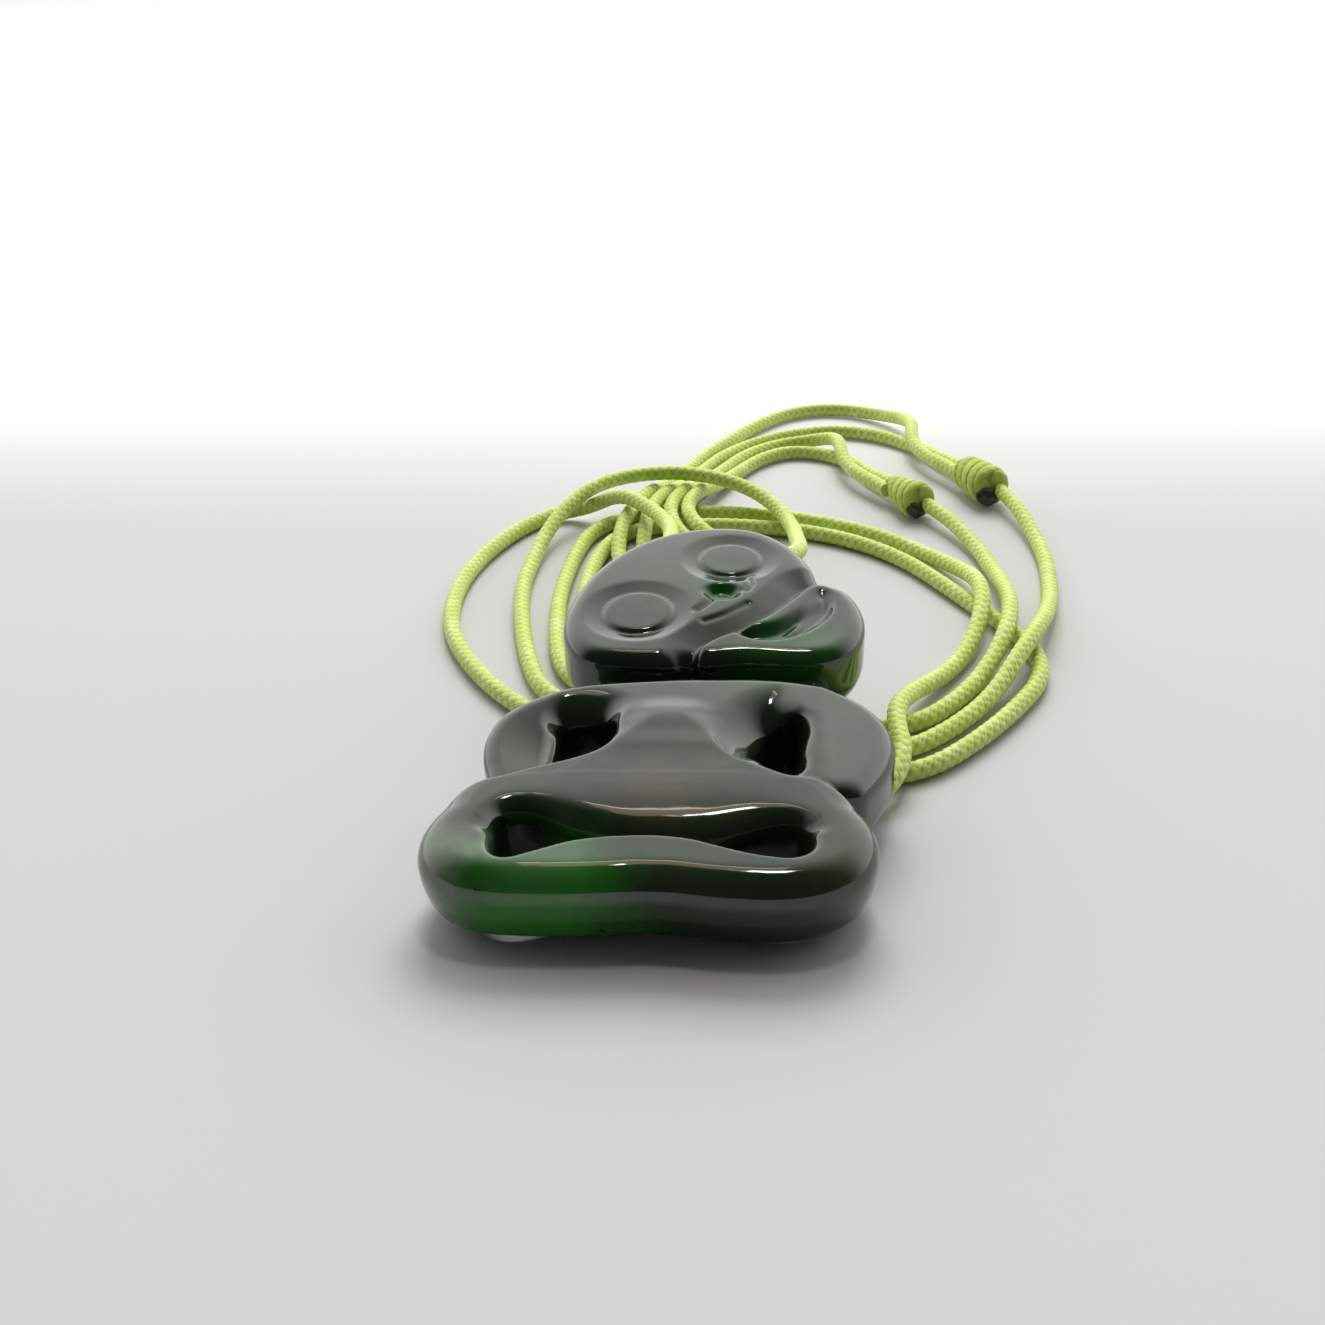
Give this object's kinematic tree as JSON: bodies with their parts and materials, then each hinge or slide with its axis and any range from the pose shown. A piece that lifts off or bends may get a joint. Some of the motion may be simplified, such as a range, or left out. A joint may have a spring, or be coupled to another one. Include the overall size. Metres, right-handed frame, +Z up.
{
  "type": "tiki pendant on an adjustable cord",
  "caption": "Carved green stone figure pendant with a tilted head and pierced limbs, lying on its back on a braided cord necklace with sliding knots.",
  "frame": {"origin": "on the surface it lies on, under the middle of the stone figure", "axes": "+X across the figure to the right, +Y from its legs to its crown, +Z up"},
  "size_m": [0.0769, 0.1518, 0.0155],
  "materials": {
    "greenstone": "polished",
    "cord": "waxed braid",
    "knot": "waxed braid with a burnt tip"
  },
  "bodies": {
    "root": {"tiki": "greenstone", "cord_right": "cord", "cord_left": "cord", "slide_knot_outer": "knot", "slide_knot_inner": "knot"}
  },
  "joints": []
}
